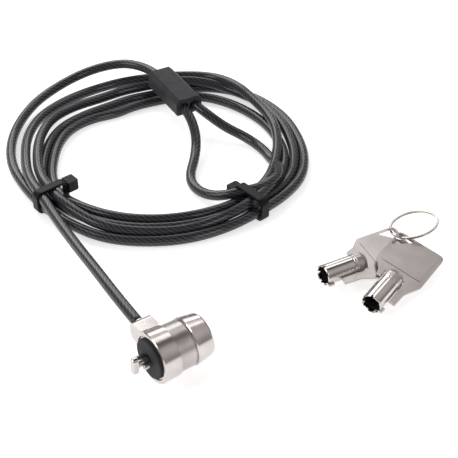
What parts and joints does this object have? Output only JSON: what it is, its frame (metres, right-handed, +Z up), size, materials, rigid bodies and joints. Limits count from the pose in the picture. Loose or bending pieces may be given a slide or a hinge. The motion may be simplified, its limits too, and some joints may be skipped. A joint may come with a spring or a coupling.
{
  "type": "laptop cable lock",
  "caption": "Cable lock for a laptop: a swivelling lock head with a T bar for a security slot, a coiled steel cable with a loop, and tubular keys on a ring.",
  "frame": {"origin": "floor level under the lock head's axis, at the front face of its rubber pad", "axes": "+X back along the lock head's axis towards its keyway, +Y towards the coiled cable, +Z up from the floor"},
  "size_m": [0.1396, 0.1978, 0.0188],
  "materials": {
    "polished_nickel": "bright nickel plate",
    "satin_nickel": "satin nickel plate",
    "black_steel": "blackened steel",
    "brass": "machined",
    "spring_steel": "bright drawn wire",
    "grey_rubber": "matte",
    "black_nylon": "semi-matte moulded nylon",
    "black_vinyl": "matte moulded vinyl",
    "aluminium_ferrule": "pressed",
    "cable_jacket": "clear vinyl over dark twisted steel wire"
  },
  "bodies": {
    "cable_side": {"swivel_collar": "polished_nickel", "cable_end_stop": "satin_nickel", "cable_lead": "cable_jacket", "cable_coil": "cable_jacket", "cable_tail": "cable_jacket", "cable_loop": "cable_jacket", "crimp_ferrule": "aluminium_ferrule", "crimp_cover": "black_vinyl", "left_tie": "black_nylon", "right_tie": "black_nylon"},
    "lock_head": {"head_body": "satin_nickel", "swivel_clip": "satin_nickel", "face_plate": "polished_nickel", "face_pad": "grey_rubber", "guide_pins": "polished_nickel", "pin_block": "brass", "block_pin": "spring_steel", "driver_pins": "brass", "pin_springs": "spring_steel", "key_sleeve": "black_steel", "rear_cap": "polished_nickel", "detent_ball": "spring_steel", "detent_spring": "spring_steel"},
    "lock_spindle": {"lock_bar": "polished_nickel", "rotor": "black_steel", "drive_pin": "satin_nickel", "key_pins": "brass"},
    "key_ring": {"split_ring": "spring_steel"},
    "key_1": {"key_1_barrel": "polished_nickel", "key_1_collar": "satin_nickel", "key_1_bow": "satin_nickel"},
    "key_2": {"key_2_barrel": "polished_nickel", "key_2_collar": "satin_nickel", "key_2_bow": "satin_nickel"}
  },
  "joints": [
    {"name": "head_swivel", "type": "hinge", "parent": "cable_side", "child": "lock_head", "pos_m": [0, 0, 0.0094], "axis": [1, 0, 0], "continuous": true},
    {"name": "lock_turn", "type": "hinge", "parent": "lock_head", "child": "lock_spindle", "pos_m": [0, 0, 0.0094], "axis": [1, 0, 0], "range_deg": [0, 90]},
    {"name": "key_ring_lift", "type": "slide", "parent": "cable_side", "child": "key_ring", "axis": [0, 0, 1], "range_m": [0, 0.1]},
    {"name": "key_1_round_ring", "type": "hinge", "parent": "key_ring", "child": "key_1", "pos_m": [0.12176, 0.00594, 0.00653], "axis": [0.1464, -0.2504, -0.957], "range_deg": [0, 60]},
    {"name": "key_2_round_ring", "type": "hinge", "parent": "key_ring", "child": "key_2", "pos_m": [0.12176, 0.00594, 0.00653], "axis": [-0.1464, 0.2504, 0.957], "range_deg": [0, 60]}
  ]
}
